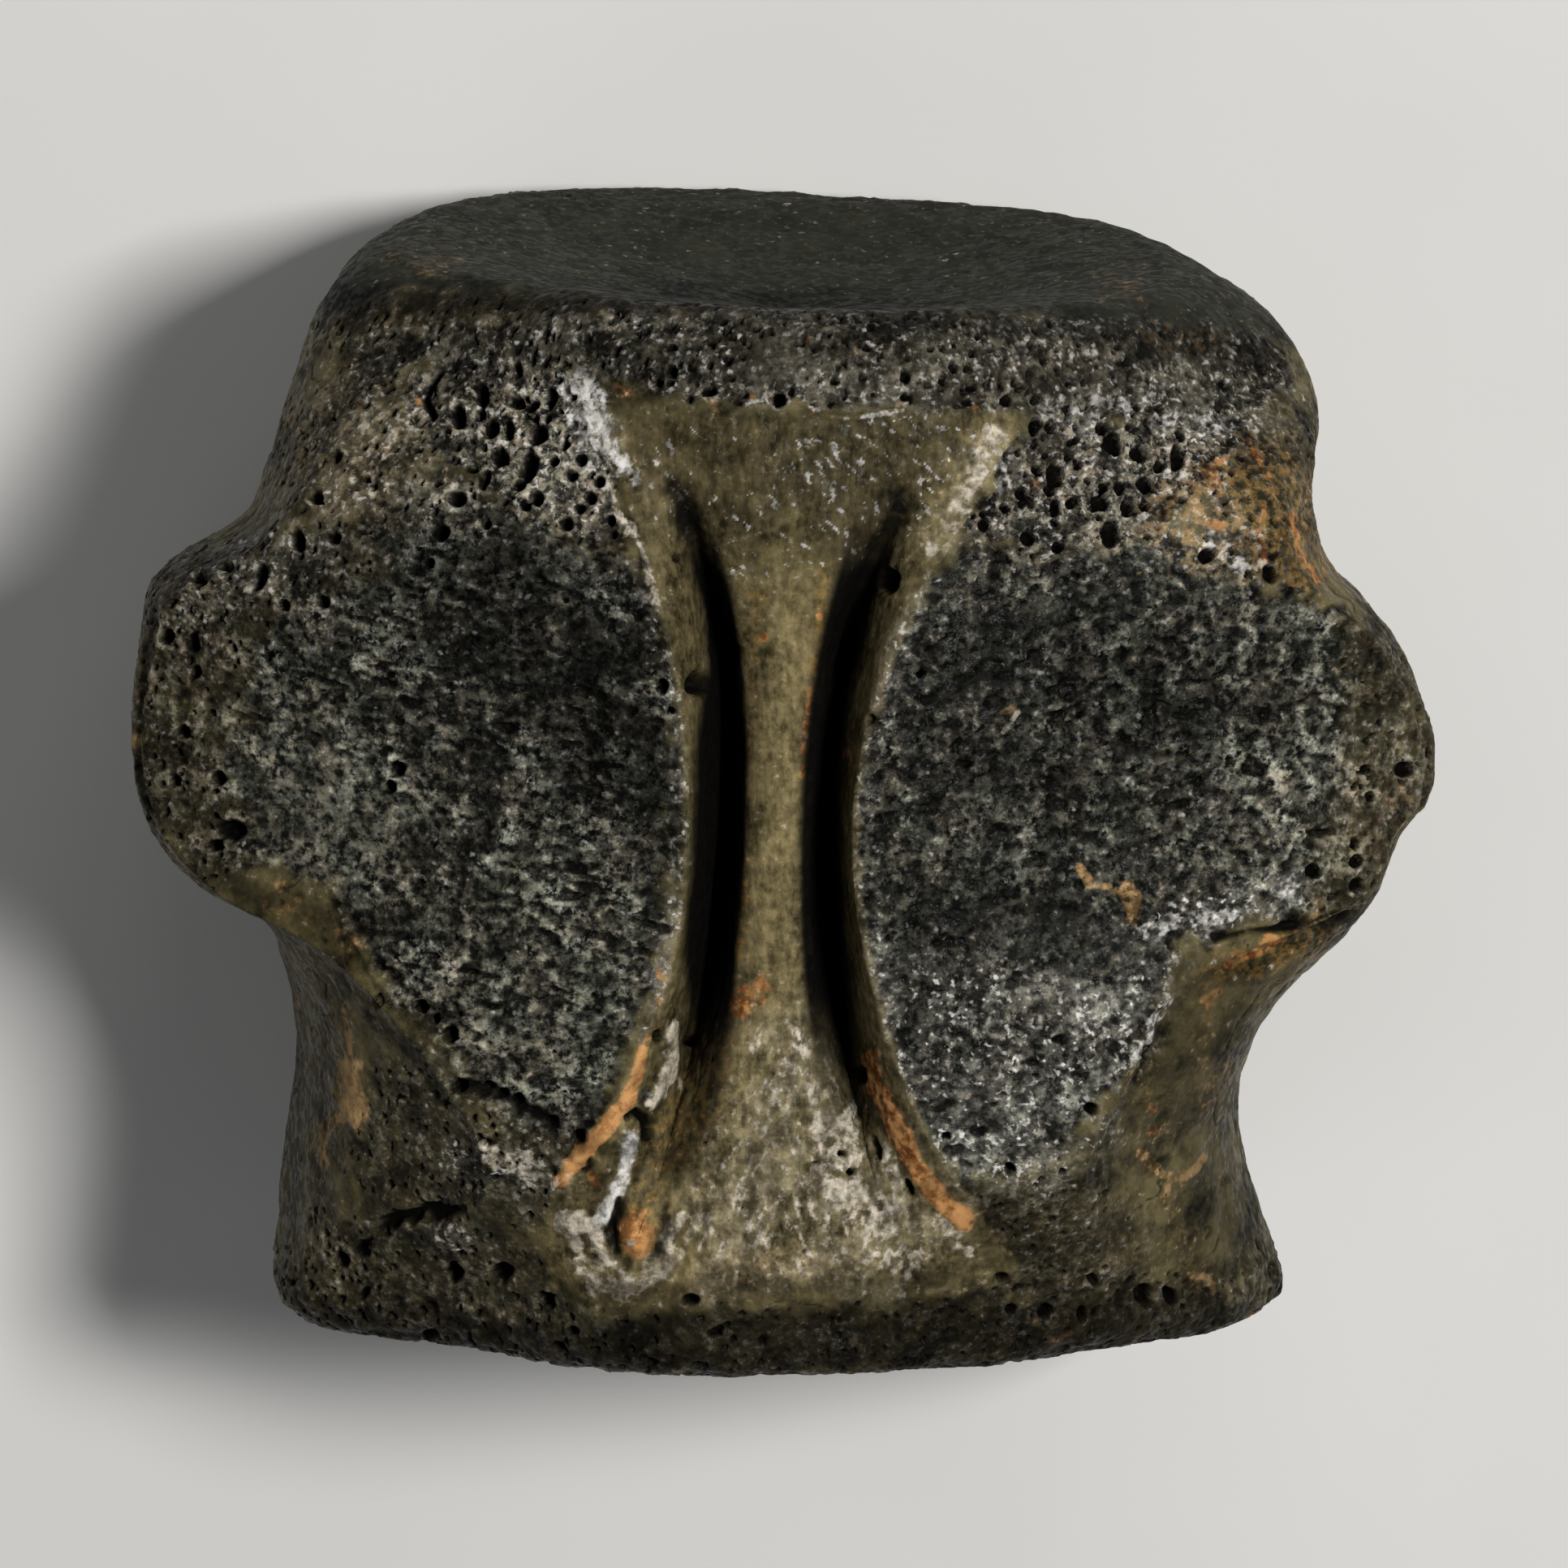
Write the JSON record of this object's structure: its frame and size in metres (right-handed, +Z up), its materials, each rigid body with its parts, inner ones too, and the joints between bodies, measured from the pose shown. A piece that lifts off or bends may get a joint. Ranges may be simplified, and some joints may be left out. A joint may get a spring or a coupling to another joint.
{
  "type": "fossil reptile vertebra",
  "caption": "Fossil reptile back vertebra without its arch: a waisted spool with dished ends, rough arch facets, rib wings and a keeled canal floor, lying on its belly.",
  "frame": {"origin": "centre of the bounding box on the surface that the bone lies on", "axes": "+Z up through the bone's back (dorsal) side, +Y along the spool towards the end nearer the rib wings, +X across the wings"},
  "size_m": [0.0292, 0.0248, 0.0187],
  "materials": {
    "fossil_bone": "dark mineral-stained fossil bone, dull grey-black to olive brown, granular and pitted, with rust and cream mineral stains"
  },
  "bodies": {
    "root": {"vertebra": "fossil_bone"}
  },
  "joints": []
}
